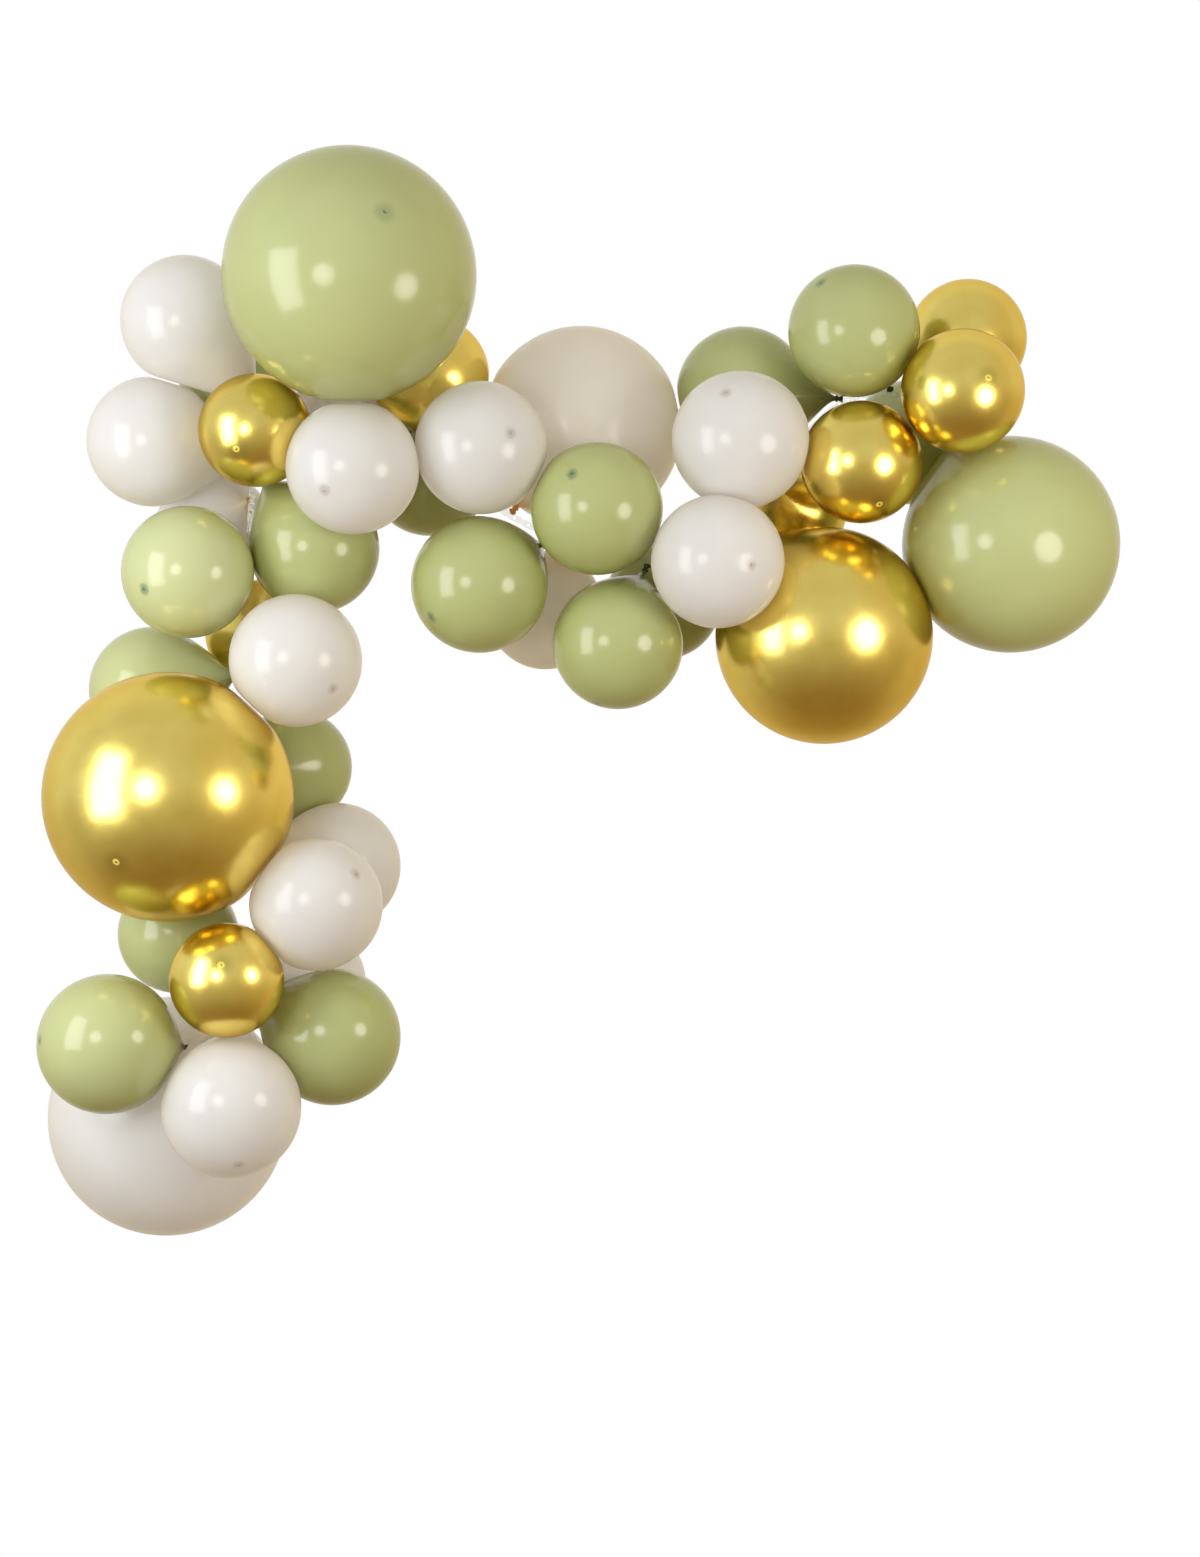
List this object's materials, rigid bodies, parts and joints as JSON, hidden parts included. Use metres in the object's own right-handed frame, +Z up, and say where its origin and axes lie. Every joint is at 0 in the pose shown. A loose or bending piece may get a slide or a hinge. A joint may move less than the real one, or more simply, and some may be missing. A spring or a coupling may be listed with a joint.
{
  "type": "balloon arch",
  "caption": "Wall-hung balloon garland: an upside-down L of round latex balloons in green, white, cream and chrome gold, tied along a flat plastic strip",
  "frame": {"origin": "the corner hanging point, on the back face of the strip that carries the balloons", "axes": "+X to the right along the top run, +Y into the wall, +Z up"},
  "size_m": [1.9491, 0.7793, 1.919],
  "materials": {
    "green_latex": "glossy stretched latex",
    "white_latex": "glossy stretched latex",
    "cream_latex": "glossy stretched latex",
    "chrome_gold": "chrome-effect stretched latex",
    "clear_plastic": "clear plastic strip"
  },
  "bodies": {
    "root": {"balloon_strip": "clear_plastic", "cream_balloon_span_back": "cream_latex", "cream_balloon_span_broad": "cream_latex", "gold_balloon_corner_small": "chrome_gold", "gold_balloon_end_front": "chrome_gold", "gold_balloon_end_large": "chrome_gold", "gold_balloon_end_middle": "chrome_gold", "gold_balloon_end_middle_back": "chrome_gold", "gold_balloon_end_top_back": "chrome_gold", "gold_balloon_foot_small": "chrome_gold", "gold_balloon_leg_back": "chrome_gold", "gold_balloon_leg_giant": "chrome_gold", "gold_balloon_under_giant": "chrome_gold", "green_balloon_corner_back": "green_latex", "green_balloon_corner_giant": "green_latex", "green_balloon_end_back": "green_latex", "green_balloon_end_large": "green_latex", "green_balloon_end_top": "green_latex", "green_balloon_foot_left": "green_latex", "green_balloon_foot_right": "green_latex", "green_balloon_inner_corner": "green_latex", "green_balloon_left": "green_latex", "green_balloon_leg_left": "green_latex", "green_balloon_leg_low": "green_latex", "green_balloon_leg_right": "green_latex", "green_balloon_span_front": "green_latex", "green_balloon_span_low_back": "green_latex", "green_balloon_span_low_left": "green_latex", "green_balloon_span_lowest": "green_latex", "green_balloon_span_start_back": "green_latex", "green_balloon_span_top_back": "green_latex", "white_balloon_corner_back": "white_latex", "white_balloon_corner_front": "white_latex", "white_balloon_foot_back": "white_latex", "white_balloon_foot_front": "white_latex", "white_balloon_foot_giant": "white_latex", "white_balloon_left_back": "white_latex", "white_balloon_leg_front": "white_latex", "white_balloon_leg_right_back": "white_latex", "white_balloon_leg_right_front": "white_latex", "white_balloon_middle_left": "white_latex", "white_balloon_span_lower_right": "white_latex", "white_balloon_span_start": "white_latex", "white_balloon_span_upper_right": "white_latex", "white_balloon_upper_left": "white_latex"}
  },
  "joints": []
}
